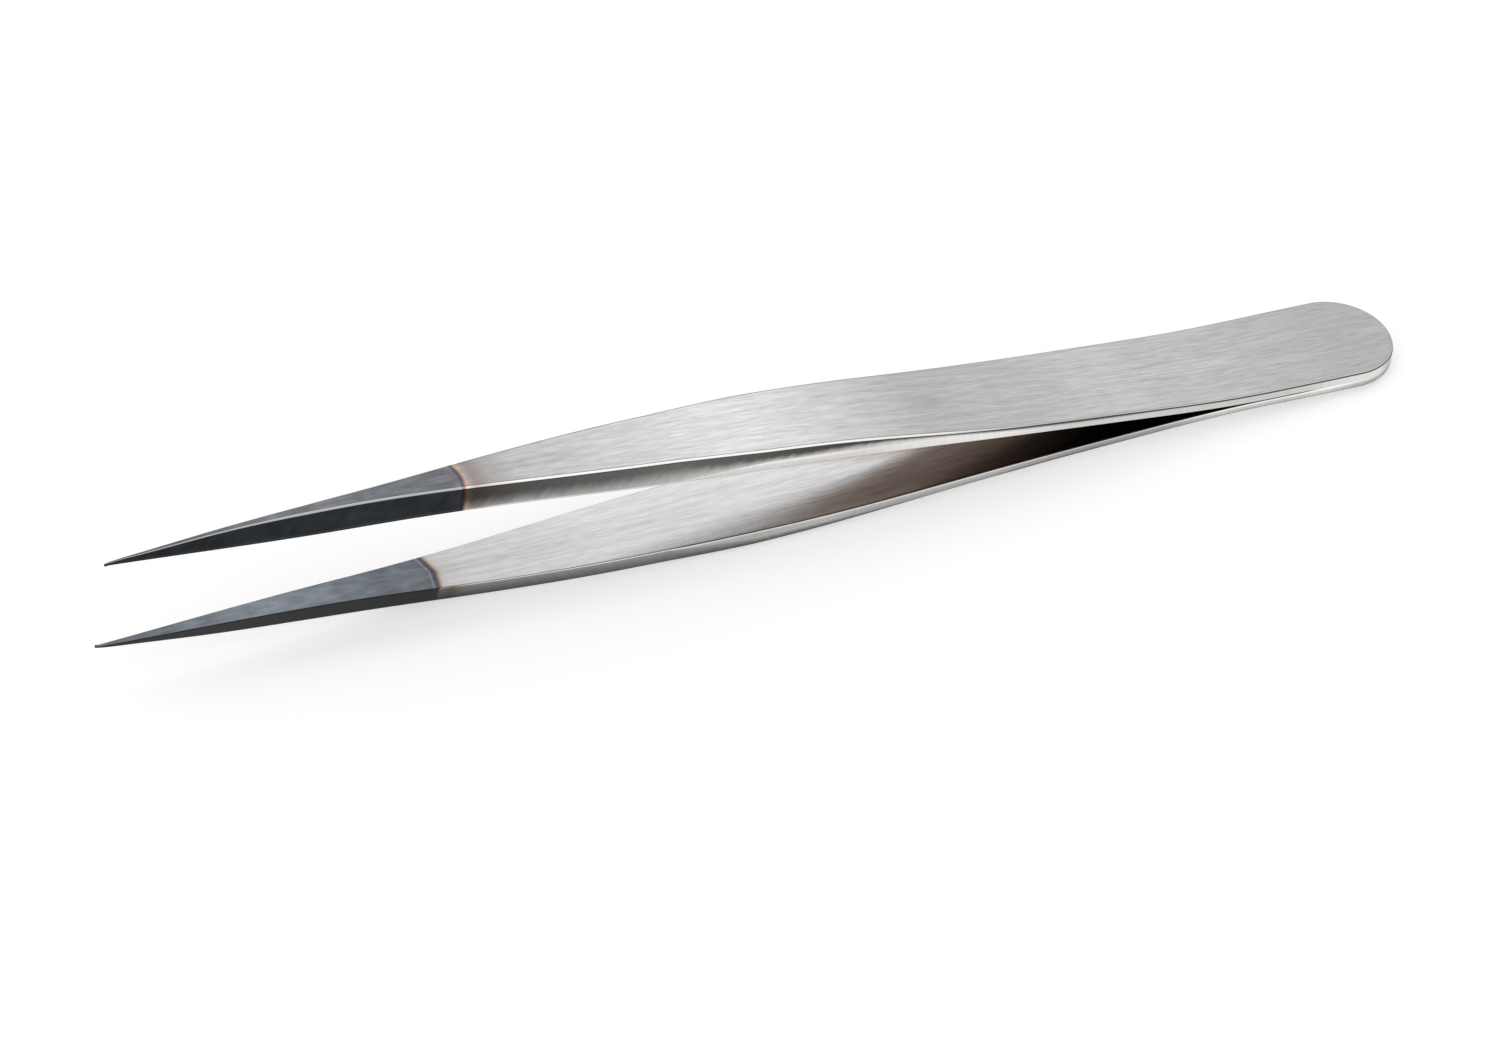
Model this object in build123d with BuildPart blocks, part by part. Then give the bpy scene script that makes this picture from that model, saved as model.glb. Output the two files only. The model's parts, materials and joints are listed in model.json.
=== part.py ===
from build123d import *
import math
import os

# Fine straight tweezers: two mirrored leaves joined at the heel.
# Millimetres. Stations are measured from the tips towards the heel.

# Overall
overall_length = 120.0
heel_width = 10.0
leaf_thickness = 0.8
weld_length = 14.0

# Plan outline of a leaf: needle taper, then flare to the shoulder, then the grip
tip_width = 0.2
taper_length = 22.0
taper_width = 2.8
neck_run = 12.0
neck_width = 4.85
flare_run = 10.0
flare_width = 6.7
shoulder_run = 10.0
shoulder_width = 7.9
grip_width = 9.15

# Side profile: stretches between the stations, counted from the tip as far as the belly
point_run = 3.0
needle_run = 6.0
jaw_run = 11.0
belly_run = 14.0

# and counted back from the weld behind it, with the hip half way between the two
root_run = 14.0
spring_run = 12.0
waist_run = 14.0

# Gap between the two leaves at those stations
tip_gap = 8.6
jaw_gap = 7.8
belly_gap = 8.06
hip_gap = 7.2
waist_gap = 5.8
spring_gap = 3.42
root_gap = 1.5

# Thickness of a leaf at those stations
tip_thickness = 0.14
point_thickness = 0.56
needle_thickness = 1.3
jaw_thickness = 2.02
belly_thickness = 1.92
hip_thickness = 1.9
waist_thickness = 1.52
spring_thickness = 0.95
root_thickness = 0.84

# Ground facet along both outer edges: its lean, and the wall it leaves below
front_lean = 18.5
rear_lean = 30.0
edge_land = 0.1
grip_wall = 0.7
wall_run = 8.0
facet_pitch = 5.0

# Cutters pass the blank by this much
overshoot = 1.0

# How finely the curves are searched
halvings = 40
outer_samples = 400

# Stations along the leaf, with the origin at mid-length
tip_x = -overall_length / 2
heel_x = overall_length / 2
weld_x = heel_x - weld_length
heel_radius = heel_width / 2
heel_centre_x = heel_x - heel_radius
taper_x = tip_x + taper_length
neck_x = taper_x + neck_run
flare_x = neck_x + flare_run
shoulder_x = flare_x + shoulder_run
grip_x = (shoulder_x + heel_centre_x) / 2
point_x = tip_x + point_run
needle_x = point_x + needle_run
jaw_x = needle_x + jaw_run
belly_x = jaw_x + belly_run
root_x = weld_x - root_run
spring_x = root_x - spring_run
waist_x = spring_x - waist_run
hip_x = (belly_x + waist_x) / 2
wall_x = hip_x + wall_run


def outer_height(gap, thickness):
    """Height of the outer face above the plane between the leaves."""
    return gap / 2 + thickness


def height_at(curve, x):
    """Second coordinate of a curve that runs steadily along X, at station x."""
    low, high = 0.0, 1.0
    for _ in range(halvings):
        middle = (low + high) / 2
        if (curve @ middle).X < x:
            low = middle
        else:
            high = middle
    return (curve @ low).Y


# One side of the plan outline, from the tip to the heel's round end
with BuildLine() as plan_side:
    taper = Line((tip_x, tip_width / 2), (taper_x, taper_width / 2))
    Spline(
        taper @ 1,
        (neck_x, neck_width / 2),
        (flare_x, flare_width / 2),
        (shoulder_x, shoulder_width / 2),
        (grip_x, grip_width / 2),
        (heel_centre_x, heel_radius),
        tangents=(taper % 1, (1, 0)),
    )

# Inner face of the upper leaf, bowed away from the plane between the leaves
with BuildLine() as inner_side:
    Spline(
        (tip_x, tip_gap / 2),
        (jaw_x, jaw_gap / 2),
        (belly_x, belly_gap / 2),
        (hip_x, hip_gap / 2),
        (waist_x, waist_gap / 2),
        (spring_x, spring_gap / 2),
        (root_x, root_gap / 2),
        (weld_x, 0),
        tangents=((jaw_x - tip_x, (jaw_gap - tip_gap) / 2), (1, 0)),
    )

needle_gap = 2 * height_at(inner_side.line, needle_x)
point_gap = 2 * height_at(inner_side.line, point_x)

# Outer face of the upper leaf
with BuildLine() as outer_side:
    Spline(
        (tip_x, outer_height(tip_gap, tip_thickness)),
        (point_x, outer_height(point_gap, point_thickness)),
        (needle_x, outer_height(needle_gap, needle_thickness)),
        (jaw_x, outer_height(jaw_gap, jaw_thickness)),
        (belly_x, outer_height(belly_gap, belly_thickness)),
        (hip_x, outer_height(hip_gap, hip_thickness)),
        (waist_x, outer_height(waist_gap, waist_thickness)),
        (spring_x, outer_height(spring_gap, spring_thickness)),
        (root_x, outer_height(root_gap, root_thickness)),
        (weld_x, leaf_thickness),
        tangents=((point_run, point_thickness), (1, 0)),
    )

# At rest the tweezers lie on the belly of the lower leaf and the corner of its heel
outer_points = [outer_side.line @ (step / outer_samples) for step in range(outer_samples + 1)]
rest_tilt = max(math.atan2(point.Y - leaf_thickness, heel_x - point.X) for point in outer_points)
tilt_cos = math.cos(rest_tilt)
tilt_sin = math.sin(rest_tilt)
tip_reach = outer_height(tip_gap, tip_thickness)
mid_origin = (
    (tip_reach - leaf_thickness) * tilt_sin / 2,
    0,
    heel_x * tilt_sin + leaf_thickness * tilt_cos,
)

# Plane between the leaves, seen from above and from the near side
mid_plane = Plane(origin=mid_origin, x_dir=(tilt_cos, 0, -tilt_sin), z_dir=(tilt_sin, 0, tilt_cos))
side_plane = Plane(origin=mid_origin, x_dir=mid_plane.x_dir, z_dir=(0, -1, 0))


def section_plane(x):
    """Plane across the leaf at station x: its X is the row's +Y, its Y the leaf's height."""
    return Plane(origin=mid_plane.from_local_coords((x, 0, 0)), x_dir=(0, 1, 0), z_dir=mid_plane.x_dir)


def facet_section(x, wall, lean, side):
    """Wedge that grinds one outer edge back to a wall at station x."""
    edge_y = height_at(plan_side.line, x)
    wall_top = height_at(inner_side.line, x) + wall
    head_z = height_at(outer_side.line, x) + overshoot
    slope = math.tan(math.radians(lean))
    foot = (edge_y + overshoot * slope, wall_top - overshoot)
    head = (edge_y - (head_z - wall_top) * slope, head_z)
    far_y = edge_y + overshoot
    outline = [foot, head, (far_y, head_z), (far_y, foot[1])]
    with BuildSketch(section_plane(x)) as wedge:
        with BuildLine():
            Polyline([(side * y, z) for y, z in outline], close=True)
        make_face()
    return wedge.sketch


def facet_at(x):
    """Wall and lean of the ground facet at station x."""
    last = len(facet_knots) - 1
    index = next((i for i in range(1, last) if x < facet_knots[i][0]), last)
    start, end = facet_knots[index - 1], facet_knots[index]
    share = (x - start[0]) / (end[0] - start[0])
    return [low + share * (high - low) for low, high in zip(start[1:], end[1:])]


# The facet takes the whole side as far as the hip, then leaves a wall and fades out at the weld
facet_knots = [
    (tip_x, edge_land / 2, front_lean),
    (point_x, edge_land, front_lean),
    (hip_x, edge_land, front_lean),
    (wall_x, grip_wall, front_lean),
    (spring_x, grip_wall, rear_lean),
    (weld_x, leaf_thickness + edge_land, rear_lean),
]
facet_steps = math.ceil((weld_x - tip_x) / facet_pitch)
facet_x = [tip_x + (weld_x - tip_x) * step / facet_steps for step in range(facet_steps + 1)]

with BuildPart() as upper_arm:
    # side profile across the full width
    with BuildSketch(side_plane):
        with BuildLine():
            add(inner_side.line)
            Polyline(inner_side.line @ 1, (heel_x, 0), (heel_x, leaf_thickness), outer_side.line @ 1)
            add(outer_side.line)
            Line(outer_side.line @ 0, inner_side.line @ 0)
        make_face()
    extrude(amount=heel_width, both=True)
    # plan outline with the half-round heel
    with BuildSketch(mid_plane):
        with BuildLine():
            Line((tip_x, 0), plan_side.line @ 0)
            add(plan_side.line)
            RadiusArc(plan_side.line @ 1, (heel_x, 0), heel_radius)
            mirror(about=Plane.XZ)
        make_face()
    extrude(amount=tip_gap, mode=Mode.INTERSECT)
    # ground facets
    for side in (-1, 1):
        loft([facet_section(x, *facet_at(x), side) for x in facet_x], mode=Mode.SUBTRACT)

# The lower leaf is the upper one mirrored, welded to it face to face at the heel
with BuildPart() as lower_arm:
    mirror(upper_arm.part, about=mid_plane)

upper_arm.part.label = "upper_arm"
lower_arm.part.label = "lower_arm"

os.makedirs("parts", exist_ok=True)
export_step(upper_arm.part, "parts/upper_arm.step")
export_step(lower_arm.part, "parts/lower_arm.step")
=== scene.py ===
"""Fine straight tweezers: two brushed steel leaves, welded at the heel, with diamond coated tips."""

import json
import math

import bpy
import numpy as np
from bpy.props import FloatProperty, FloatVectorProperty, IntProperty, PointerProperty
from bpy.types import Operator, Panel, PropertyGroup
from mathutils import Matrix, Vector


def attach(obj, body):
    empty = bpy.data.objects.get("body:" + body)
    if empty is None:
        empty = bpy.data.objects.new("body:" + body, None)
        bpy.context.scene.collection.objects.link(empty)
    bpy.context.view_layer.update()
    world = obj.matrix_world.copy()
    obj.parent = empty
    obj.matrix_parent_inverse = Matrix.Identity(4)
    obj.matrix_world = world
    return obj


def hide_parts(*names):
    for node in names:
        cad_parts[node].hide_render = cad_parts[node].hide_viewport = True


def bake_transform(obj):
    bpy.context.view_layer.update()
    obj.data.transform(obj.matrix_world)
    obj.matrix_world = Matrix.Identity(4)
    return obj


bl_info = {
    "name": "Coated Tweezers",
    "version": (1, 0, 0),
    "blender": (4, 5, 0),
    "location": "View3D > Sidebar > Tweezers",
    "description": "Ground and brushed leaves with coated needle tips, and the studio they lie in",
    "category": "Object",
}

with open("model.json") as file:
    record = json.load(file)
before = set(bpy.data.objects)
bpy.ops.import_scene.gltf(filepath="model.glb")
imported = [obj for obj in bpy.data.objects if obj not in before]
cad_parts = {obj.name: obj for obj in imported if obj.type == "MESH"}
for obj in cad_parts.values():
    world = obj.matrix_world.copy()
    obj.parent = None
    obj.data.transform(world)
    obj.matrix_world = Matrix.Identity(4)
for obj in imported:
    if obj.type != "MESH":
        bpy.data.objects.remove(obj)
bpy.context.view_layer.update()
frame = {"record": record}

# Both heel mounts lie on the welded leaves, one above and one below the plane between them
mounts = {mount["name"]: mount for mount in frame["record"]["mounts"]}
heel_top = Vector(mounts["heel_top"]["pos_m"])
heel_underside = Vector(mounts["heel_underside"]["pos_m"])
mount_to_heel_end = 0.0075

# Along the leaf a place is a station, counted in metres from the tips
plan_stations = (0.022, 0.034, 0.044, 0.054, 0.0845, 0.115)
gap_stations = (0.0, 0.020, 0.034, 0.050, 0.066, 0.080, 0.092, 0.106)
point_stations = (0.003, 0.009)
facet_stations = (0.0, 0.003, 0.050, 0.058, 0.080, 0.106)

# The seam along the weld fades between these
seam_fade = 0.1085
seam_gone = 0.1125

# The ground belly gives way to the plain grip between these
belly_end = 0.070
grip_start = 0.080

# Each stretch of the section has its own finish
finishes = ("inner_face", "inner_edge", "wall", "facet", "outer_edge", "outer_face")

# A strip of the section starts as a square grid about the origin, and its rows crowd towards the tip
grid_size = 1.0
row_crowding = 1.5
flat_columns = {"inner_face": 9, "wall": 6, "facet": 8, "outer_face": 9}
edge_columns = 5

# A rounded edge takes at most this share of a face, and in the closed seam this share of its radius
most_of_face = 0.4
closed_seam = 0.05

# In metres: the least that a half width counts for, and how near points are merged
least_half_width = 0.00001
merge_distance = 0.000001
millimetres = 1000

# Sockets that go by number, because others of their node have the same name
compare_sockets = (2, 3)
mix_sockets = (0, 6, 7)
mixed_colour = 2

# In millimetres past the coating's edge: where the film ends, where the steel begins and the edge's waver
film_end = -0.4
steel_start = -0.05
edge_waver = 0.03

# How the grain of a finish shows in its bump, whose depth is in metres, and in its roughness
grain_bump = 0.6
grain_depth = 0.000003
grain_roughness = 0.05

# Studio: the place, width and watts of each lamp, the floor, the world as a light, and the camera's limits
lamps = {
    "overhead": ((0.3, 0.9, 1.4), 1.6, 2.6),
    "side": ((-1.2, -0.9, 0.8), 1.2, 1.0),
}
floor_width = 6.0
floor_colour = (0.8, 0.8, 0.8)
floor_glow = 0.5
world_light = 0.6
white = (1.0, 1.0, 1.0)
sensor_width = 36.0
nearest_seen = 0.01
farthest_seen = 20.0


def lengths(values, name, description):
    """A property for one length at each station."""
    return FloatVectorProperty(
        name=name, description=description, size=len(values), default=values, unit="LENGTH", precision=5
    )


def length(value, name, description):
    """A property for a single length."""
    return FloatProperty(
        name=name, description=description, default=value, min=0.0, unit="LENGTH", precision=5
    )


def angle(degrees, name, description):
    """A property for an angle."""
    return FloatProperty(
        name=name, description=description, default=math.radians(degrees), subtype="ANGLE"
    )


def colour(value, name, description):
    """A property for a linear colour."""
    return FloatVectorProperty(
        name=name, description=description, size=3, default=value, min=0.0, max=1.0, subtype="COLOR"
    )


class LeafSizes(PropertyGroup):
    """Sizes of the leaves, which differ only in their coatings."""

    overall: length(0.120, "Length", "Tip to heel")
    tip_width: length(0.0002, "Tip Width", "Width of a leaf at its point")
    widths: lengths(
        (0.0028, 0.00485, 0.0067, 0.0079, 0.00915, 0.010), "Widths", "Width of a leaf at the plan stations"
    )
    gaps: lengths(
        (0.0086, 0.0078, 0.00806, 0.0072, 0.0058, 0.00342, 0.0015, 0.0), "Gaps", "Gap between the leaves"
    )
    point_thicknesses: lengths((0.00056, 0.0013), "Point Thicknesses", "Thickness close behind the tip")
    thicknesses: lengths(
        (0.00014, 0.00202, 0.00192, 0.0019, 0.00152, 0.00095, 0.00084, 0.0008),
        "Thicknesses",
        "Thickness of a leaf at the gap stations",
    )
    walls: lengths(
        (0.00005, 0.0001, 0.0001, 0.0007, 0.0007, 0.0009),
        "Walls",
        "Upright wall left below the ground facet",
    )
    leans: FloatVectorProperty(
        name="Leans",
        description="Lean of the ground facet from upright",
        size=len(facet_stations),
        default=[math.radians(degrees) for degrees in (18.5, 18.5, 18.5, 18.5, 30.0, 30.0)],
        unit="ROTATION",
    )
    edge_radius: length(0.00009, "Edge Radius", "How far an inner edge is rounded back")
    land_radius: length(0.0002, "Land Radius", "How far the outer edge is rounded back")
    least_facet: length(0.0002, "Least Facet", "Height of the broken edge where the facet has run out")
    tip_rounding: length(0.0001, "Tip Rounding", "Length over which the point closes")
    upper_coating: lengths(
        (0.03145, 0.00028, 0.0002), "Upper Coating", "Coated length of the upper leaf, its bow and its skew"
    )
    lower_coating: lengths(
        (0.0306, 0.00004, 0.0004), "Lower Coating", "Coated length of the lower leaf, its bow and its skew"
    )
    rows: IntProperty(name="Rows", description="Sections along a leaf", default=420, min=60)


class FinishColours(PropertyGroup):
    """Colours of the steel and its coating."""

    steel: colour((0.45, 0.45, 0.453), "Steel", "Brushed faces")
    film: colour((0.155, 0.168, 0.182), "Film", "Coated faces")
    ground: colour(
        (0.83, 0.815, 0.79), "Ground Steel", "Ground facets, walls and edges where they are brightest"
    )
    # Coated facets: the film's own colour, darkened further as painted shade
    shaded_film: colour((0.026, 0.0295, 0.033), "Dark Film", "Coated facets")
    # Coated outer edge: a painted highlight, much lighter than the film
    land_highlight_film: colour((0.48, 0.46, 0.47), "Land Film", "Coated outer edge")


class StudioSizes(PropertyGroup):
    """Camera, placed from the middle of the tweezers in the leaves' own axes."""

    azimuth: angle(-31.96, "Azimuth", "Turn of the camera about the leaves")
    elevation: angle(39.17, "Elevation", "Rise of the camera above the leaves")
    roll: angle(9.40, "Roll", "Roll of the camera about its view")
    distance: length(0.8087, "Distance", "Camera to the middle of the tweezers")
    offset: FloatVectorProperty(
        name="Offset",
        description="Camera to the right of the middle and above it",
        size=2,
        default=(-0.001216, -0.005007),
        unit="LENGTH",
        precision=6,
    )
    lens: FloatProperty(name="Lens", description="Focal length in millimetres", default=234.1, min=1.0)


def maths(operation, *operands):
    """A Math node on numbers and node values."""
    tree = next(operand.tree for operand in operands if isinstance(operand, Value))
    return tree.add("ShaderNodeMath", {"operation": operation}, operands)


class Value:
    """A socket whose maths is written with Python's own operators."""

    def __init__(self, tree, socket):
        self.tree = tree
        self.socket = socket

    def __add__(self, other):
        return maths("ADD", self, other)

    def __radd__(self, other):
        return maths("ADD", other, self)

    def __sub__(self, other):
        return maths("SUBTRACT", self, other)

    def __rsub__(self, other):
        return maths("SUBTRACT", other, self)

    def __mul__(self, other):
        return maths("MULTIPLY", self, other)

    def __rmul__(self, other):
        return maths("MULTIPLY", other, self)

    def __truediv__(self, other):
        return maths("DIVIDE", self, other)

    def __pow__(self, other):
        return maths("POWER", self, other)

    def __lt__(self, other):
        return maths("LESS_THAN", self, other)


def least(first, second):
    """The smaller of two numbers or node values."""
    return maths("MINIMUM", first, second) if isinstance(first, Value) else min(first, second)


def greatest(first, second):
    """The larger of two numbers or node values."""
    return maths("MAXIMUM", first, second) if isinstance(first, Value) else max(first, second)


class Tree:
    """Adds nodes to a node tree and hands back their outputs as values."""

    def __init__(self, tree):
        self.tree = tree

    def fill(self, socket, content):
        """Links a value to a socket, or sets the socket's own number, vector, colour or name."""
        if isinstance(content, Value):
            self.tree.links.new(content.socket, socket)
        elif socket.type == "RGBA":
            socket.default_value = (*content, 1.0)
        else:
            socket.default_value = content

    def add(self, kind, settings=None, sockets=(), output=0):
        """Adds a node, and hands back one of its outputs if it has any."""
        node = self.tree.nodes.new(kind)
        for name, setting in (settings or {}).items():
            if name == "stops":
                self.set_stops(node.color_ramp, setting)
            else:
                setattr(node, name, setting)
        named = sockets.items() if isinstance(sockets, dict) else enumerate(sockets)
        for key, content in named:
            self.fill(node.inputs[key], content)
        return Value(self, node.outputs[output]) if node.outputs else None

    def set_stops(self, ramp, stops):
        """Gives a colour ramp its stops, each a position and a colour."""
        while len(ramp.elements) < len(stops):
            ramp.elements.new(1.0)
        for element, (position, shade) in zip(ramp.elements, stops):
            element.position = position
            element.color = (*shade, 1.0)

    def parts(self, vector):
        """The three numbers of a vector."""
        node = self.add("ShaderNodeSeparateXYZ", sockets=(vector,)).socket.node
        return [Value(self, socket) for socket in node.outputs]

    def vector(self, x, y, z=0.0):
        """A vector of three numbers."""
        return self.add("ShaderNodeCombineXYZ", sockets=(x, y, z))


def eased(value, low, high):
    """Nought at low, one at high and an even S between, for a node value. Low may be the larger."""
    return value.tree.add(
        "ShaderNodeMapRange",
        {"interpolation_type": "SMOOTHSTEP"},
        {"Value": value, "From Min": low, "From Max": high},
    )


def between(share, low, high):
    """The number that lies at the share from low to high."""
    return (high - low) * share + low


class Profile:
    """A curve over the stations, as a start, a slope and bends that each begin at a station."""

    def __init__(self, stations, values, slope=None):
        self.first, self.last = stations[0], stations[-1]
        self.base = values[0]
        if slope is None:
            self.bends = self.straight_runs(stations, values)
            self.slope = 0.0
        else:
            self.slope = slope
            self.bends = self.smooth_bends(np.array(stations), np.array(values))

    def straight_runs(self, stations, values):
        """Slope changes of the broken line through the values."""
        slopes = [0.0, *(np.diff(values) / np.diff(stations))]
        return [(start, 1, after - before) for start, before, after in zip(stations, slopes, slopes[1:])]

    def smooth_bends(self, stations, values):
        """Weights of the smooth curve through the values that leaves with the slope and ends level."""
        kinds = [(stations[0], 2), *((start, 3) for start in stations[:-1])]
        reach = stations[-1] - stations[0]
        past = np.array([[max(at - start, 0.0) / reach for start, _ in kinds] for at in stations[1:]])
        powers = np.array([power for _, power in kinds])
        level = powers * past[-1] ** (powers - 1)
        wanted = values[1:] - values[0] - self.slope * (stations[1:] - stations[0])
        weights = np.linalg.solve(np.vstack([past**powers, level]), [*wanted, -self.slope * reach])
        return [(start, power, weight / reach**power) for (start, power), weight in zip(kinds, weights)]

    def at(self, station):
        """Value at a station, which is a number or a node value."""
        station = least(station, self.last)
        total = (station - self.first) * self.slope + self.base
        for start, power, weight in self.bends:
            total = total + greatest(station - start, 0.0) ** power * weight
        return total


def leaf_profiles(sizes):
    """Half width, inner height, outer height, wall and lean of the upper leaf over the stations."""
    taper = (sizes.widths[0] - sizes.tip_width) / plan_stations[0]
    half_width = Profile(plan_stations, [width / 2 for width in sizes.widths], taper / 2)
    rise = (sizes.gaps[1] - sizes.gaps[0]) / 2 / gap_stations[1]
    inner = Profile(gap_stations, [gap / 2 for gap in sizes.gaps], rise)
    outer_stations = sorted([*gap_stations, *point_stations])
    thickness = dict(zip([*gap_stations, *point_stations], [*sizes.thicknesses, *sizes.point_thicknesses]))
    outer_slope = sizes.point_thicknesses[0] / point_stations[0]
    outer = Profile(outer_stations, [inner.at(s) + thickness[s] for s in outer_stations], outer_slope)
    wall = Profile(facet_stations, sizes.walls)
    lean = Profile(facet_stations, sizes.leans)
    return half_width, inner, outer, wall, lean


def leaf_tree(sizes):
    """Geometry Nodes tree that wraps strips round the section and runs them from tip to heel."""
    group = bpy.data.node_groups.new("Leaf", "GeometryNodeTree")
    tree = Tree(group)
    wanted = {
        "Length": sizes.overall,
        "Heel Width": sizes.widths[-1],
        "Edge Radius": sizes.edge_radius,
        "Land Radius": sizes.land_radius,
        "Least Facet": sizes.least_facet,
        "Tip Rounding": sizes.tip_rounding,
        "Coated Length": sizes.upper_coating[0],
        "Coating Bow": sizes.upper_coating[1],
        "Coating Skew": sizes.upper_coating[2],
        "Side": 1.0,
        "Rows": sizes.rows,
    }
    for name, value in wanted.items():
        kind = "NodeSocketInt" if name == "Rows" else "NodeSocketFloat"
        group.interface.new_socket(name, in_out="INPUT", socket_type=kind).default_value = value
    for finish in finishes:
        group.interface.new_socket(finish, in_out="INPUT", socket_type="NodeSocketMaterial")
    group.interface.new_socket("Leaf", in_out="OUTPUT", socket_type="NodeSocketGeometry")
    entry = group.nodes.new("NodeGroupInput")
    given = {socket.name: Value(tree, socket) for socket in entry.outputs if socket.name}

    # Rows crowd towards the tip. Past the heel's centre they turn round it.
    along, around, _ = tree.parts(tree.add("GeometryNodeInputPosition"))
    radius = given["Heel Width"] / 2
    straight = given["Length"] - radius
    travel = (along + grid_size / 2) ** row_crowding * (straight + radius * (math.pi / 2))
    station = least(travel, straight)
    turn = greatest(travel - straight, 0.0) / radius
    share = around + grid_size / 2

    half_width, inner, outer, wall, lean = [profile.at(station) for profile in leaf_profiles(sizes)]
    facet = greatest(outer - inner - wall, given["Least Facet"])
    slant = maths("TANGENT", lean) * facet
    wall_top = outer - facet
    corners = {
        "inner_centre": (0.0, inner),
        "inner_corner": (half_width, inner),
        "wall_corner": (half_width, wall_top),
        "outer_corner": (half_width - slant, outer),
        "outer_centre": (0.0, outer),
    }
    facet_run = maths("SQRT", facet * facet + slant * slant)
    step = (slant / facet_run * -1.0, facet / facet_run)

    def held(back, *faces):
        """How far an edge is rounded back, held to its share of the faces beside it."""
        for face in faces:
            back = least(back, face * most_of_face)
        return back

    edge = given["Edge Radius"]
    seam = eased(station, seam_gone, seam_fade) + closed_seam
    inner_back = held(edge * seam, half_width, wall_top - inner)
    wall_back = held(edge, wall_top - inner, facet_run)
    outer_back = held(given["Land Radius"], half_width - slant, facet_run)

    def shifted(point, direction, amount):
        """A point moved by an amount in a direction."""
        return tuple(amount * way + place for place, way in zip(point, direction))

    points = {
        "inner_before": shifted(corners["inner_corner"], (-1.0, 0.0), inner_back),
        "inner_after": shifted(corners["inner_corner"], (0.0, 1.0), inner_back),
        "wall_before": shifted(corners["wall_corner"], (0.0, -1.0), wall_back),
        "wall_after": shifted(corners["wall_corner"], step, wall_back),
        "outer_before": shifted(corners["outer_corner"], (step[0] * -1.0, step[1] * -1.0), outer_back),
        "outer_after": shifted(corners["outer_corner"], (-1.0, 0.0), outer_back),
    }
    middle = (inner + outer) / 2
    closing = 1.0 - least(station / given["Tip Rounding"], 1.0)
    swell = maths("SQRT", 1.0 - closing * closing)

    def strip(finish, begin, corner, end):
        """One strip of the section, from begin to end, rounded past a corner if it has one."""
        if corner is None:
            columns = flat_columns[finish]
            part = 0.5 - maths("COSINE", share * math.pi) * 0.5
            flat = [(b - a) * part + a for a, b in zip(begin, end)]
        else:
            columns = edge_columns
            rest = 1.0 - share
            flat = [
                rest * rest * a + rest * share * 2.0 * c + share * share * b
                for a, c, b in zip(begin, corner, end)
            ]
        out = flat[0] * swell
        height = (flat[1] - middle) * swell + middle
        grid = tree.add(
            "GeometryNodeMeshGrid",
            sockets={
                "Size X": grid_size,
                "Size Y": grid_size,
                "Vertices X": given["Rows"],
                "Vertices Y": columns,
            },
        )
        x = station - given["Length"] / 2 + out * maths("SINE", turn)
        y = out * maths("COSINE", turn)
        if finish in ("inner_face", "outer_face"):
            pattern = tree.vector(x * millimetres, y * millimetres)
        else:
            pattern = tree.vector(travel * millimetres, (height - inner) * millimetres)
        across = y / greatest(half_width, least_half_width)
        bow = (1.0 - across * across) * given["Coating Bow"]
        edge_of_coating = given["Coated Length"] + bow - across * given["Coating Skew"]
        for name, kind, domain, value in (
            ("UVMap", "FLOAT2", "CORNER", pattern),
            ("station", "FLOAT", "POINT", travel),
            ("past_coating", "FLOAT", "POINT", (station - edge_of_coating) * millimetres),
            ("depth", "FLOAT", "POINT", (outer - height) * millimetres),
            ("lower", "FLOAT", "POINT", given["Side"] < 0.0),
            ("share", "FLOAT", "CORNER", share),
            ("finish", "INT", "FACE", finishes.index(finish)),
        ):
            grid = tree.add(
                "GeometryNodeStoreNamedAttribute",
                {"data_type": kind, "domain": domain},
                {"Geometry": grid, "Name": name, "Value": value},
            )
        place = tree.vector(x, y, height)
        return tree.add("GeometryNodeSetPosition", sockets={"Geometry": grid, "Position": place})

    def joined(pieces):
        """The pieces as one geometry."""
        node = group.nodes.new("GeometryNodeJoinGeometry")
        for piece in pieces:
            group.links.new(piece.socket, node.inputs[0])
        return Value(tree, node.outputs[0])

    def mirrored(piece, ways):
        """A piece with each coordinate multiplied by its way, which is one or minus one."""
        coordinates = tree.parts(tree.add("GeometryNodeInputPosition"))
        place = tree.vector(*(coordinate * way for coordinate, way in zip(coordinates, ways)))
        return tree.add("GeometryNodeSetPosition", sockets={"Geometry": piece, "Position": place})

    half = joined(
        (
            strip("inner_face", corners["inner_centre"], None, points["inner_before"]),
            strip("inner_edge", points["inner_before"], corners["inner_corner"], points["inner_after"]),
            strip("wall", points["inner_after"], None, points["wall_before"]),
            strip("wall", points["wall_before"], corners["wall_corner"], points["wall_after"]),
            strip("facet", points["wall_after"], None, points["outer_before"]),
            strip("outer_edge", points["outer_before"], corners["outer_corner"], points["outer_after"]),
            strip("outer_face", points["outer_after"], None, corners["outer_centre"]),
        )
    )

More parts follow.
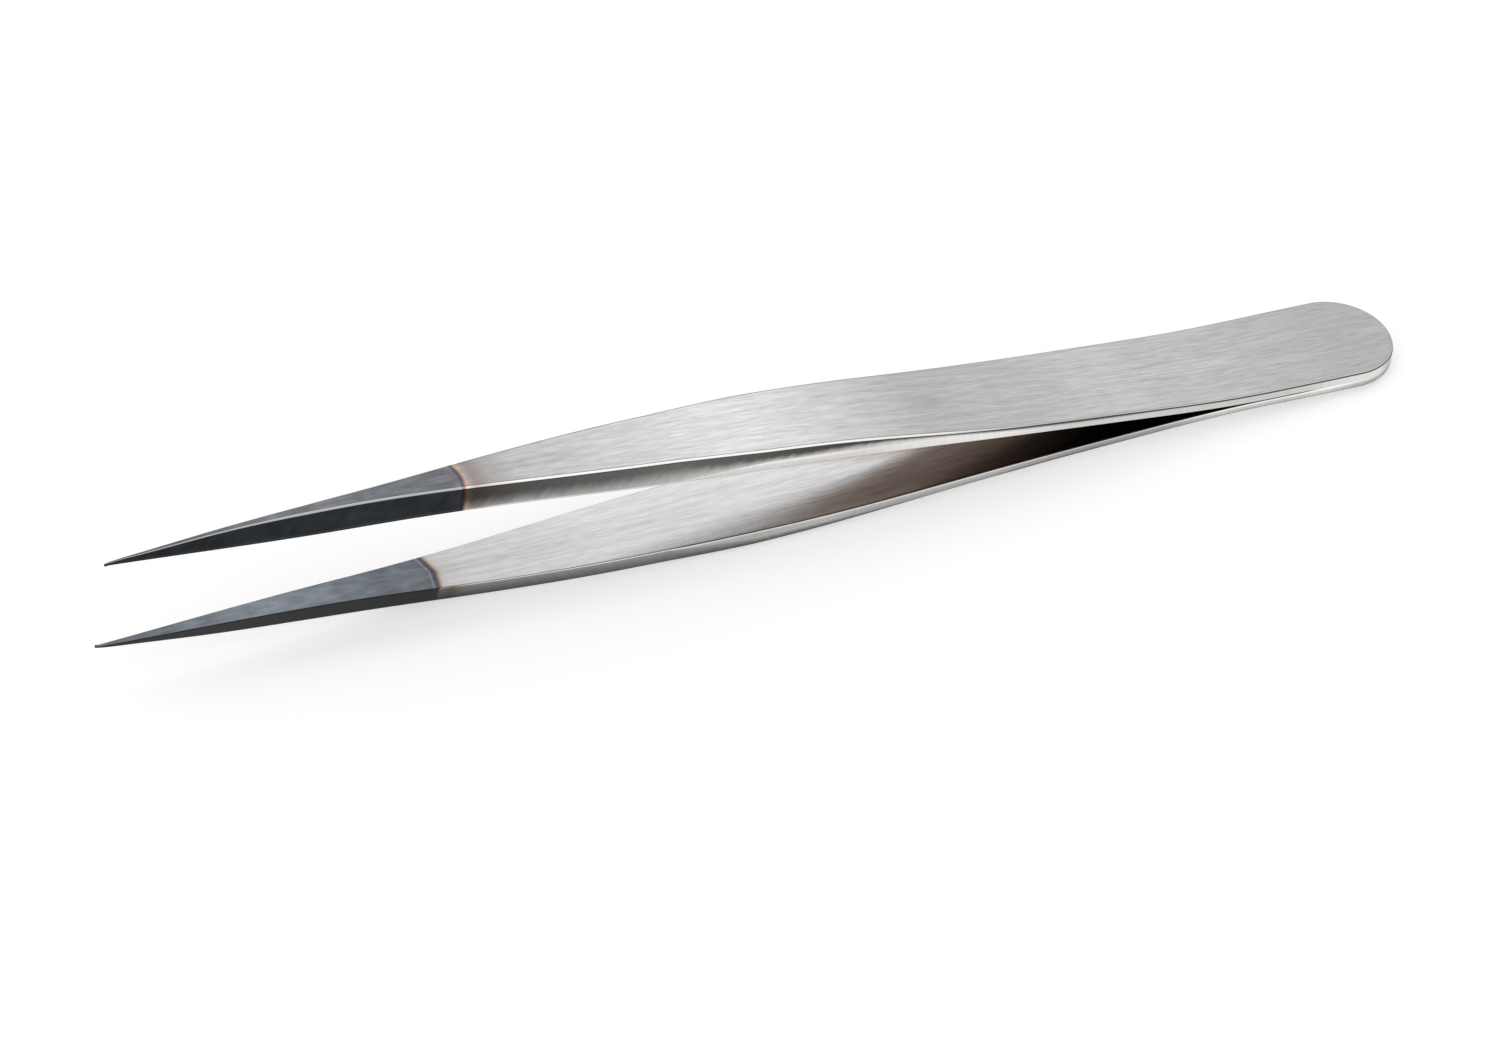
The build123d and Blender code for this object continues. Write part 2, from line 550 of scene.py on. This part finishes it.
    # The far half mirrors the near one, and the lower leaf mirrors the upper
    far = mirrored(half, (1.0, -1.0, 1.0))
    near = tree.add("GeometryNodeFlipFaces", sockets={"Mesh": half})
    leaf = tree.add(
        "GeometryNodeMergeByDistance",
        sockets={"Geometry": joined((near, far)), "Distance": merge_distance},
    )
    leaf = mirrored(leaf, (1.0, 1.0, given["Side"]))
    leaf = tree.add("GeometryNodeFlipFaces", sockets={"Mesh": leaf, "Selection": given["Side"] < 0.0})
    leaf = tree.add("GeometryNodeSetShadeSmooth", sockets={"Geometry": leaf})
    leaf = tree.add("GeometryNodeRealizeInstances", sockets={"Geometry": leaf})
    number = tree.add("GeometryNodeInputNamedAttribute", {"data_type": "INT"}, {"Name": "finish"})
    for index, finish in enumerate(finishes):
        chosen = tree.add(
            "FunctionNodeCompare",
            {"data_type": "INT", "operation": "EQUAL"},
            dict(zip(compare_sockets, (number, index))),
        )
        leaf = tree.add(
            "GeometryNodeSetMaterial",
            sockets={"Geometry": leaf, "Selection": chosen, "Material": given[finish]},
        )
    group.links.new(leaf.socket, group.nodes.new("NodeGroupOutput").inputs[0])
    return group


def leaf_frame(sizes):
    """Matrix from a leaf's own axes, whose X runs between the leaves from mid-length, to the frame."""
    up = (heel_top - heel_underside).normalized()
    across = Vector((0.0, 1.0, 0.0))
    back = across.cross(up)
    origin = (heel_top + heel_underside) / 2 + back * (mount_to_heel_end - sizes.overall / 2)
    turned = Matrix((back, across, up)).transposed()
    return Matrix.Translation(origin) @ turned.to_4x4()


class Spot:
    """Where a point of the finish lies on its leaf: millimetres, a station and shares, as node values."""

    def __init__(self, tree):
        self.tree = tree
        self.along, self.across, _ = tree.parts(tree.add("ShaderNodeUVMap", {"uv_map": "UVMap"}))
        self.station = self.read("station")
        self.past = self.read("past_coating")
        self.depth = self.read("depth")
        self.lower = self.read("lower")
        self.share = self.read("share")

    def read(self, name):
        """A number that the leaf's mesh carries."""
        return self.tree.add("ShaderNodeAttribute", {"attribute_name": name}, output="Fac")

    def marks(self, along, across, run, pitch, layer, detail=2.0, roughness=0.5):
        """Even noise about nought, whose marks are about as long as run and as wide as pitch."""
        place = self.tree.vector(along / run, across / pitch, layer)
        sockets = {"Vector": place, "Scale": 1.0, "Detail": detail, "Roughness": roughness}
        return self.tree.add("ShaderNodeTexNoise", {"normalize": True}, sockets) * 2.0 - 1.0

    def tone(self, stations, values):
        """A number that runs straight between its values at the stations."""
        return Profile(stations, values).at(self.station)

    def blended(self, share, first, second):
        """The first colour where the share is nought and the second where it is one."""
        sockets = dict(zip(mix_sockets, (share, first, second)))
        return self.tree.add("ShaderNodeMix", {"data_type": "RGBA"}, sockets, output=mixed_colour)

    def scaled(self, shade, factor):
        """A colour times a number."""
        sockets = {"Vector": shade, "Scale": factor}
        return self.tree.add("ShaderNodeVectorMath", {"operation": "SCALE"}, sockets)

    def tinted(self, shade, tint):
        """A colour times a colour."""
        return self.tree.add("ShaderNodeVectorMath", {"operation": "MULTIPLY"}, (shade, tint))


# Tempering beside the coating's edge: millimetres past the edge, and how much it multiplies the finish
outer_tempering = (
    (-1.7, (1.0, 1.0, 1.0)),
    (-0.95, (1.15, 1.0, 0.95)),
    (-0.72, (1.2, 1.02, 0.98)),
    (-0.60, (1.15, 1.2, 1.35)),
    (-0.42, (0.70, 0.80, 1.0)),
    (-0.28, (0.60, 0.42, 0.40)),
    (-0.14, (0.82, 0.48, 0.36)),
    (-0.03, (1.03, 0.72, 0.54)),
    (0.07, (1.06, 0.86, 0.70)),
    (0.35, (0.80, 0.72, 0.67)),
    (0.75, (0.66, 0.59, 0.57)),
    (1.35, (0.72, 0.66, 0.64)),
    (2.2, (0.85, 0.82, 0.80)),
    (4.5, (1.0, 1.0, 1.0)),
)
inner_tempering = (
    (-1.7, (1.0, 1.0, 1.0)),
    (-0.9, (1.0, 0.95, 0.92)),
    (-0.82, (1.2, 1.05, 1.0)),
    (-0.74, (2.0, 1.7, 1.55)),
    (-0.62, (0.85, 0.8, 0.95)),
    (-0.5, (0.6, 0.6, 0.8)),
    (-0.33, (0.46, 0.43, 0.58)),
    (-0.2, (0.5, 0.38, 0.36)),
    (-0.1, (0.7, 0.48, 0.38)),
    (0.0, (0.84, 0.64, 0.5)),
    (0.1, (0.9, 0.78, 0.68)),
    (0.3, (0.96, 0.89, 0.84)),
    (0.8, (0.99, 0.97, 0.96)),
    (2.0, (1.0, 1.0, 1.0)),
)
underside_tempering = (
    (-0.8, (1.0, 1.0, 1.0)),
    (-0.55, (1.1, 1.05, 1.0)),
    (-0.30, (1.0, 0.85, 0.75)),
    (-0.10, (0.72, 0.48, 0.42)),
    (0.05, (0.66, 0.46, 0.41)),
    (0.25, (0.52, 0.50, 0.54)),
    (0.45, (0.44, 0.48, 0.55)),
    (0.65, (0.42, 0.38, 0.38)),
    (0.85, (0.42, 0.33, 0.27)),
    (1.15, (0.59, 0.48, 0.37)),
    (1.5, (0.82, 0.75, 0.67)),
    (2.5, (0.95, 0.93, 0.90)),
    (4.0, (1.0, 1.0, 1.0)),
)

# The colour ramps hold tints as shares of this
most_tint = 2.0


def tempering_tint(spot, past, tempering):
    """The tempering's tint at a distance past the coating's edge, as a share of the most."""
    start, end = tempering[0][0], tempering[-1][0]
    stops = [
        ((place - start) / (end - start), [part / most_tint for part in tint]) for place, tint in tempering
    ]
    return spot.tree.add("ShaderNodeValToRGB", {"stops": stops}, ((past - start) / (end - start),))


def marked(*weighted):
    """A factor about one, from marks that each have a weight."""
    factor = 1.0
    for marks, weight in weighted:
        factor = factor + marks * weight
    return factor


def brushing(spot, layer, weights):
    """Brush lines that wander along the leaf: the fine ones, and a factor of fine, short and broad ones."""
    wander = spot.marks(spot.along, spot.across, run=9.0, pitch=3.0, layer=layer + 1.0)
    wander_width = 0.3
    across = spot.across + wander * wander_width
    fine = spot.marks(spot.along, across, run=3.5, pitch=0.20, layer=layer, detail=3.0, roughness=0.6)
    short = spot.marks(spot.along, across, run=1.6, pitch=0.24, layer=layer + 2.0)
    broad = spot.marks(spot.along, across, run=9.0, pitch=0.6, layer=layer + 3.0)
    return fine, marked(*zip((fine, short, broad), weights))


def clouds(spot, layer):
    """Soft patches of the film, with smaller and fainter ones among them."""
    wide = spot.marks(spot.along, spot.across, run=2.6, pitch=0.9, layer=layer, detail=3.0)
    small = spot.marks(spot.along, spot.across, run=1.2, pitch=0.5, layer=layer + 1.0)
    wide_weight = 0.7
    small_weight = 0.35
    return wide * wide_weight + small * small_weight


def outer_face_shades(spot, colours):
    """Brushed steel with a painted highlight on the belly, and the clouded film."""
    fine, lines = brushing(spot, layer=0.0, weights=(0.32, 0.22, 0.22))
    # Painted highlight: the steel is painted brighter on the belly, where the bowed face would catch the
    # light
    belly_highlight = spot.tone(
        (0.033, 0.042, 0.052, 0.058, 0.064, 0.074, 0.086, 0.100, 0.106, 0.116),
        (0.88, 1.10, 1.34, 1.40, 1.30, 0.94, 1.0, 1.04, 0.92, 0.84),
    )
    steel = spot.scaled(colours.steel, belly_highlight * lines)
    pale = spot.tone((0.004, 0.010, 0.016, 0.021, 0.028, 0.031), (0.62, 0.80, 0.90, 0.92, 0.84, 0.78))
    film = spot.scaled(colours.film, pale * marked((clouds(spot, layer=9.0), 1.0), (fine, 0.10)))
    return steel, film, fine


def inner_face_shades(spot, colours):
    """Brushed steel with painted shade that turns it dark and brownish towards the weld, first along its
    edges, and the film.
    """
    fine, lines = brushing(spot, layer=70.0, weights=(0.20, 0.20, 0.24))
    # Painted shade and highlight standing in for reflections between the leaves: lighter on the belly, then
    # dark and brownish towards the weld, along the edges first
    edge_lead = 0.004
    shade_station = spot.station + maths("ABSOLUTE", spot.across) * edge_lead
    shade = Profile(
        (0.033, 0.050, 0.060, 0.0725, 0.074, 0.079, 0.084, 0.089, 0.095),
        (0.93, 1.12, 1.22, 1.20, 1.10, 0.80, 0.77, 0.95, 0.50),
    ).at(shade_station)
    steel = spot.scaled(colours.steel, shade * lines)
    brown_shade = spot.tinted(steel, (1.0, 0.88, 0.79))
    steel = spot.blended(eased(shade_station, belly_end, grip_start), steel, brown_shade)
    pale = spot.tone((0.004, 0.010, 0.015, 0.020, 0.026, 0.031), (0.70, 0.95, 1.06, 0.88, 0.70, 0.66))
    bluish = spot.tinted(colours.film, (1.03, 1.07, 1.10))
    film = spot.scaled(bluish, pale * marked((clouds(spot, layer=79.0), 0.85)))
    return steel, film, fine


def side_marks(spot):
    """Slanting grinding strokes, their blotches and the fine upright marks of the wall."""
    rising = spot.along + spot.across
    falling = spot.along - spot.across
    stroke = spot.marks(rising, falling, run=1.8, pitch=0.20, layer=20.0, detail=3.0, roughness=0.6)
    blotch = spot.marks(rising, falling, run=3.0, pitch=0.9, layer=21.0)
    upright = spot.marks(spot.along, spot.across, run=0.30, pitch=2.0, layer=22.0, detail=3.0)
    return stroke, blotch, upright


def rear_light_and_shade(spot):
    """Walls at the grip and the heel with painted light and shade, a painted shadow under their outer edge.
    The lower leaf's darken outwards as painted shade.
    """
    # Painted light and shade along the walls, darkest round the end of the heel
    wall = spot.tone(
        (0.050, 0.066, 0.071, 0.080, 0.086, 0.108, 0.114, 0.117, 0.119, 0.121),
        (0.82, 0.82, 0.94, 1.02, 0.78, 0.72, 0.92, 0.92, 0.40, 0.34),
    )
    # Painted shadow under the outer edge, off the belly
    shade_start = 0.10
    shade_tone = 0.06
    shade_end = spot.tone((0.090, 0.096), (0.36, 0.22))
    on_belly = eased(spot.station, 0.074, 0.066)
    lit = between(greatest(eased(spot.depth, shade_start, shade_end), on_belly), shade_tone, wall)
    # Painted shade: the lower leaf's walls are lighter by the inner edge and darker outwards
    outward_shade = 0.25 - spot.across * 0.6
    return lit * (spot.lower * outward_shade + 1.0)


def lower_side_shade(spot):
    """Painted shade of the lower leaf's sides beside the upper's: duller, though hardly so at the weld."""
    lower_dull_shade = spot.tone(
        (0.034, 0.045, 0.058, 0.065, 0.070, 0.078, 0.090, 0.096, 0.101, 0.111, 0.116),
        (0.66, 0.80, 0.66, 0.74, 0.60, 0.55, 0.48, 0.56, 0.92, 0.95, 0.55),
    )
    return between(spot.lower, 1.0, lower_dull_shade)


def shaded_film(spot, colours, marks):
    """Film of the sides, whose dark colour is partly painted shade, and darker still with painted shade on
    the lower leaf.
    """
    smoke = spot.marks(spot.along, spot.across, run=4.0, pitch=1.4, layer=24.0)
    # Painted shade: the lower leaf's film is darker
    lower_film_shade = 1.0 - spot.lower * 0.84
    return spot.scaled(colours.shaded_film, (marked((smoke, 0.6)) + marks) * lower_film_shade)


def facet_shades(spot, colours):
    """Ground facet with painted reflections: dark below the outer edge and light above the wall, and plain
    at the grip.
    """
    stroke, blotch, upright = side_marks(spot)
    # Painted light and shade: the facet is painted dark below the outer edge and light above the wall
    upper_line = spot.tone(
        (0.034, 0.042, 0.050, 0.058, 0.062, 0.066, 0.070, 0.076),
        (0.28, 0.35, 0.44, 0.27, 0.31, 0.48, 0.64, 0.64),
    )
    lower_line = 0.45
    line = between(spot.lower, upper_line, lower_line)
    spread = spot.lower * 0.2 + 0.28
    ragged = spot.share + stroke * 0.07 + blotch * 0.14
    lift = eased(ragged, line + spread, line - spread)
    dark_shade = spot.tone((0.034, 0.042, 0.050, 0.060, 0.066, 0.072), (0.09, 0.13, 0.165, 0.10, 0.075, 0.11))
    light = spot.tone((0.044, 0.050, 0.058, 0.066, 0.072), (0.50, 0.58, 0.76, 0.64, 0.80))
    grip = eased(spot.station, belly_end, grip_start)
    tone = between(grip, between(lift, dark_shade, light), rear_light_and_shade(spot))
    lines = marked((stroke, 0.30), (upright, 0.08))
    steel = spot.scaled(colours.ground, tone * lower_side_shade(spot) * lines)
    # Painted light: the coated facet's film is lighter towards the wall
    rim = eased(spot.share, 0.22, 0.0)
    film = shaded_film(spot, colours, rim * 0.9 + stroke * 0.2 + blotch * 0.3)
    return steel, film, stroke


def wall_shades(spot, colours):
    """Upright wall, with a painted highlight where the facet begins and along the lower leaf's inner edge.
    """
    _, blotch, upright = side_marks(spot)
    fine = spot.marks(spot.along, spot.across, run=4.0, pitch=0.11, layer=30.0, detail=3.0)
    # Painted highlights below the facet on the belly and along the lower leaf's inner edge
    crest_highlight = eased(spot.across, 0.40, 0.68) * eased(spot.station, belly_end, 0.062)
    inner_highlight = eased(spot.across, 0.32, 0.08) * spot.lower
    tone = rear_light_and_shade(spot) * lower_side_shade(spot) * marked((crest_highlight, 0.22), (inner_highlight, 0.45))
    lines = marked((fine, 0.08), (upright, 0.10), (blotch, 0.05))
    return spot.scaled(colours.ground, tone * lines), shaded_film(spot, colours, fine * 0.2), fine


def inner_edge_shades(spot, colours):
    """Broken inner edge: a painted dark line between two painted highlights, which fades where the leaves
    are welded.
    """
    fine = spot.marks(spot.along, spot.across, run=3.0, pitch=0.3, layer=40.0)
    # Painted highlights beside the wall and beside the face
    beside_wall = spot.tone(
        (0.036, 0.046, 0.056, 0.066, 0.075, 0.102), (0.36, 0.42, 0.66, 0.70, 0.88, 0.95)
    )
    beside_face = 0.62
    highlight = between(eased(spot.share, 0.5, 0.2), beside_wall, beside_face)
    # Painted dark lines; the upper leaf's turns to a painted shadow in the seam near the weld
    upper_shade_line = spot.tone((0.090, 0.099), (0.40, 0.012))
    lower_shade_line = spot.tone((0.036, 0.045, 0.060, 0.075), (0.06, 0.10, 0.05, 0.012))
    dark_shade = between(spot.lower, upper_shade_line, lower_shade_line)
    wider = spot.lower * 0.14
    line_middle = 0.45
    line_core = 0.10
    line_reach = 0.24
    off_middle = maths("ABSOLUTE", spot.share - line_middle)
    line = eased(off_middle, wider + line_reach, wider + line_core)
    steel = spot.scaled(
        colours.ground, between(line * eased(spot.station, seam_gone, seam_fade), highlight, dark_shade)
    )
    # Painted light and shade of the coated edge: a dark line between bright ones, darker past its middle
    film_line = between(eased(off_middle, line_reach, line_core), 1.3, 0.10)
    below = between(eased(spot.share, 0.5, 0.7), 1.0, 0.35)
    return steel, spot.scaled(colours.film, film_line * below), fine


def outer_edge_shades(spot, colours):
    """Polished land of the outer edge with a painted highlight, between the painted dark line of the facet
    and the painted darker rim of the face.
    """
    fine = spot.marks(spot.along, spot.across, run=3.0, pitch=0.3, layer=50.0)
    # Painted highlight along the land, dimmer towards the heel
    highlight = spot.tone((0.060, 0.068, 0.075, 0.085, 0.095, 0.105), (1.15, 1.10, 0.94, 0.59, 0.66, 0.72))
    above = eased(spot.share, 0.12, 0.26)
    rim = eased(spot.share, 0.74, 0.88)
    # Painted shade: the lower leaf's outer edge is darker
    lower_edge_shade = 1.0 - spot.lower * 0.9
    steel_tone = between(rim, between(above, 0.05, highlight), 0.17) * lower_edge_shade
    film_tone = between(rim, between(above, 0.06, 1.0), 0.20) * lower_edge_shade
    steel = spot.scaled(colours.ground, steel_tone * marked((fine, 0.06)))
    return steel, spot.scaled(colours.land_highlight_film, film_tone), fine


shades_of = {
    "inner_face": inner_face_shades,
    "inner_edge": inner_edge_shades,
    "wall": wall_shades,
    "facet": facet_shades,
    "outer_edge": outer_edge_shades,
    "outer_face": outer_face_shades,
}
roughness_of = {
    "inner_face": 0.20,
    "inner_edge": 0.30,
    "wall": 0.32,
    "facet": 0.36,
    "outer_edge": 0.22,
    "outer_face": 0.33,
}


def empty_tree(owner):
    """Node tree of a new material or world, with no nodes yet."""
    owner.use_nodes = True
    owner.node_tree.nodes.clear()
    return Tree(owner.node_tree)


def finish_material(name):
    """A finish of the leaf by its name: its steel, its film and the tempering colours between."""
    if name in bpy.data.materials:
        return bpy.data.materials[name]
    material = bpy.data.materials.new(name)
    tree = empty_tree(material)
    spot = Spot(tree)
    steel, film, grain = shades_of[name](spot, bpy.context.scene.finish_colours)
    past = spot.past + spot.marks(spot.along, spot.across, run=0.7, pitch=0.7, layer=60.0) * edge_waver
    shade = spot.blended(eased(past, film_end, steel_start), film, steel)
    tint = tempering_tint(spot, past, inner_tempering if name == "inner_face" else outer_tempering)
    if name in ("wall", "facet"):
        tint = spot.blended(spot.lower, tint, tempering_tint(spot, past, underside_tempering))
    shade = spot.tinted(shade, spot.scaled(tint, most_tint))
    bump = tree.add(
        "ShaderNodeBump",
        sockets={"Strength": grain_bump, "Distance": grain_depth, "Height": grain},
    )
    surface = tree.add(
        "ShaderNodeBsdfPrincipled",
        sockets={
            "Base Color": shade,
            "Metallic": 1.0,
            "Roughness": roughness_of[name] + grain * grain_roughness,
            "Normal": bump,
        },
    )
    tree.add("ShaderNodeOutputMaterial", sockets={"Surface": surface})
    return material


def added(name, data):
    """A new object in the scene."""
    thing = bpy.data.objects.new(name, data)
    bpy.context.scene.collection.objects.link(thing)
    return thing


def make_leaf(name, side, coating):
    """Builds one leaf from the tree as a plain mesh in the frame."""
    sizes = bpy.context.scene.leaf_sizes
    group = bpy.data.node_groups.get("Leaf") or leaf_tree(sizes)
    leaf = added(name, bpy.data.meshes.new(name))
    modifier = leaf.modifiers.new("Leaf", "NODES")
    modifier.node_group = group
    entries = {
        "Side": side,
        **dict(zip(("Coated Length", "Coating Bow", "Coating Skew"), coating)),
        **{finish: finish_material(finish) for finish in finishes},
    }
    identifiers = {item.name: item.identifier for item in group.interface.items_tree}
    for entry, value in entries.items():
        modifier[identifiers[entry]] = value
    evaluated = leaf.evaluated_get(bpy.context.evaluated_depsgraph_get())
    mesh = bpy.data.meshes.new_from_object(evaluated)
    leaf.modifiers.clear()
    leaf.data = mesh
    mesh.name = name
    # The first slot is empty: it held the faces that had no finish yet
    mesh.materials.pop(index=0)
    mesh.transform(leaf_frame(sizes))
    return leaf


class TWEEZERS_OT_upper_leaf(Operator):
    """Make the upper leaf"""

    bl_idname = "tweezers.upper_leaf"
    bl_label = "Upper Leaf"

    def execute(self, context):
        sizes = context.scene.leaf_sizes
        leaf = make_leaf("upper_leaf", 1.0, sizes.upper_coating)
        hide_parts("upper_arm")
        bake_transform(leaf)
        return {"FINISHED"}


class TWEEZERS_OT_lower_leaf(Operator):
    """Make the lower leaf, which the tweezers lie on"""

    bl_idname = "tweezers.lower_leaf"
    bl_label = "Lower Leaf"

    def execute(self, context):
        leaf = make_leaf("lower_leaf", -1.0, context.scene.leaf_sizes.lower_coating)
        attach(leaf, "lower_arm")
        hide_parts("lower_arm")
        return {"FINISHED"}


class TWEEZERS_OT_studio(Operator):
    """Set up the floor, the lamps, the world and the camera"""

    bl_idname = "tweezers.studio"
    bl_label = "Studio"

    def execute(self, context):
        set_camera(context.scene)
        set_world(context.scene)
        set_floor()
        set_lamps()
        context.scene.view_settings.view_transform = "Standard"
        return {"FINISHED"}


def set_camera(scene):
    """Camera of the photograph, in the leaves' own axes."""
    studio = scene.studio_sizes
    azimuth, elevation, roll = studio.azimuth, studio.elevation, studio.roll
    view = Vector(
        (
            -math.sin(azimuth) * math.cos(elevation),
            math.cos(azimuth) * math.cos(elevation),
            -math.sin(elevation),
        )
    )
    right = Vector((math.cos(azimuth), math.sin(azimuth), 0.0))
    up = right.cross(view)
    right, up = (
        right * math.cos(roll) + up * math.sin(roll),
        up * math.cos(roll) - right * math.sin(roll),
    )
    place = right * studio.offset[0] + up * studio.offset[1] - view * studio.distance
    turned = Matrix((right, up, -view)).transposed().to_4x4()
    camera = added("camera", bpy.data.cameras.new("camera"))
    camera.matrix_world = leaf_frame(scene.leaf_sizes) @ Matrix.Translation(place) @ turned
    camera.data.lens = studio.lens
    camera.data.sensor_width = sensor_width
    camera.data.clip_start = nearest_seen
    camera.data.clip_end = farthest_seen
    scene.camera = camera


def seen_white(tree):
    """One for camera, glossy and transmitted rays, and nought for the rest."""
    outputs = tree.add("ShaderNodeLightPath").socket.node.outputs
    camera, glossy, transmitted = (
        Value(tree, outputs[name]) for name in ("Is Camera Ray", "Is Glossy Ray", "Is Transmission Ray")
    )
    return greatest(greatest(camera, glossy), transmitted)


def set_world(scene):
    """White to the eye and in the steel, softer as light."""
    world = bpy.data.worlds.new("studio")
    tree = empty_tree(world)
    shown = seen_white(tree)
    strength = shown + (1.0 - shown) * world_light
    light = tree.add("ShaderNodeBackground", sockets={"Color": white, "Strength": strength})
    tree.add("ShaderNodeOutputWorld", sockets={"Surface": light})
    scene.world = world


def set_floor():
    """A wide pale floor that keeps the shadow."""
    mesh = bpy.data.meshes.new("floor")
    reach = floor_width / 2
    corners = [(x * reach, y * reach, 0.0) for x, y in ((-1, -1), (1, -1), (1, 1), (-1, 1))]
    mesh.from_pydata(corners, [], [(0, 1, 2, 3)])
    floor = added("floor", mesh)
    material = bpy.data.materials.new("floor")
    tree = empty_tree(material)
    lit = tree.add("ShaderNodeBsdfDiffuse", sockets={"Color": floor_colour})
    strength = seen_white(tree) * floor_glow
    glow = tree.add("ShaderNodeEmission", sockets={"Color": white, "Strength": strength})
    surface = tree.add("ShaderNodeAddShader", sockets=(lit, glow))
    tree.add("ShaderNodeOutputMaterial", sockets={"Surface": surface})
    mesh.materials.append(material)


def set_lamps():
    """Large soft boxes, so dim that they only lift the side that they face."""
    for name, (place, width, watts) in lamps.items():
        light = bpy.data.lights.new(name, "AREA")
        light.energy = watts
        light.size = width
        lamp = added(name, light)
        lamp.location = place
        lamp.rotation_euler = (-Vector(place)).to_track_quat("-Z", "Y").to_euler()


class TWEEZERS_PT_parts(Panel):
    """Lists the pieces of the tweezers and their sizes"""

    bl_idname = "TWEEZERS_PT_parts"
    bl_label = "Tweezers"
    bl_space_type = "VIEW_3D"
    bl_region_type = "UI"
    bl_category = "Tweezers"

    def draw(self, context):
        layout = self.layout
        for piece in (TWEEZERS_OT_upper_leaf, TWEEZERS_OT_lower_leaf, TWEEZERS_OT_studio):
            layout.operator(piece.bl_idname)
        for group in property_groups:
            sizes = getattr(context.scene, group)
            # Two properties that every group has come first
            for name in sizes.bl_rna.properties.keys()[2:]:
                layout.prop(sizes, name)


property_groups = {"leaf_sizes": LeafSizes, "finish_colours": FinishColours, "studio_sizes": StudioSizes}
classes = (
    *property_groups.values(),
    TWEEZERS_OT_upper_leaf,
    TWEEZERS_OT_lower_leaf,
    TWEEZERS_OT_studio,
    TWEEZERS_PT_parts,
)


def register():
    for each in classes:
        bpy.utils.register_class(each)
    for name, group in property_groups.items():
        setattr(bpy.types.Scene, name, PointerProperty(type=group))


def unregister():
    for name in property_groups:
        delattr(bpy.types.Scene, name)
    for each in reversed(classes):
        bpy.utils.unregister_class(each)


def main():
    register()
    bpy.ops.tweezers.lower_leaf()
    bpy.ops.tweezers.upper_leaf()
    bpy.ops.tweezers.studio()
    bpy.context.view_layer.update()


if __name__ == "__main__":
    main()
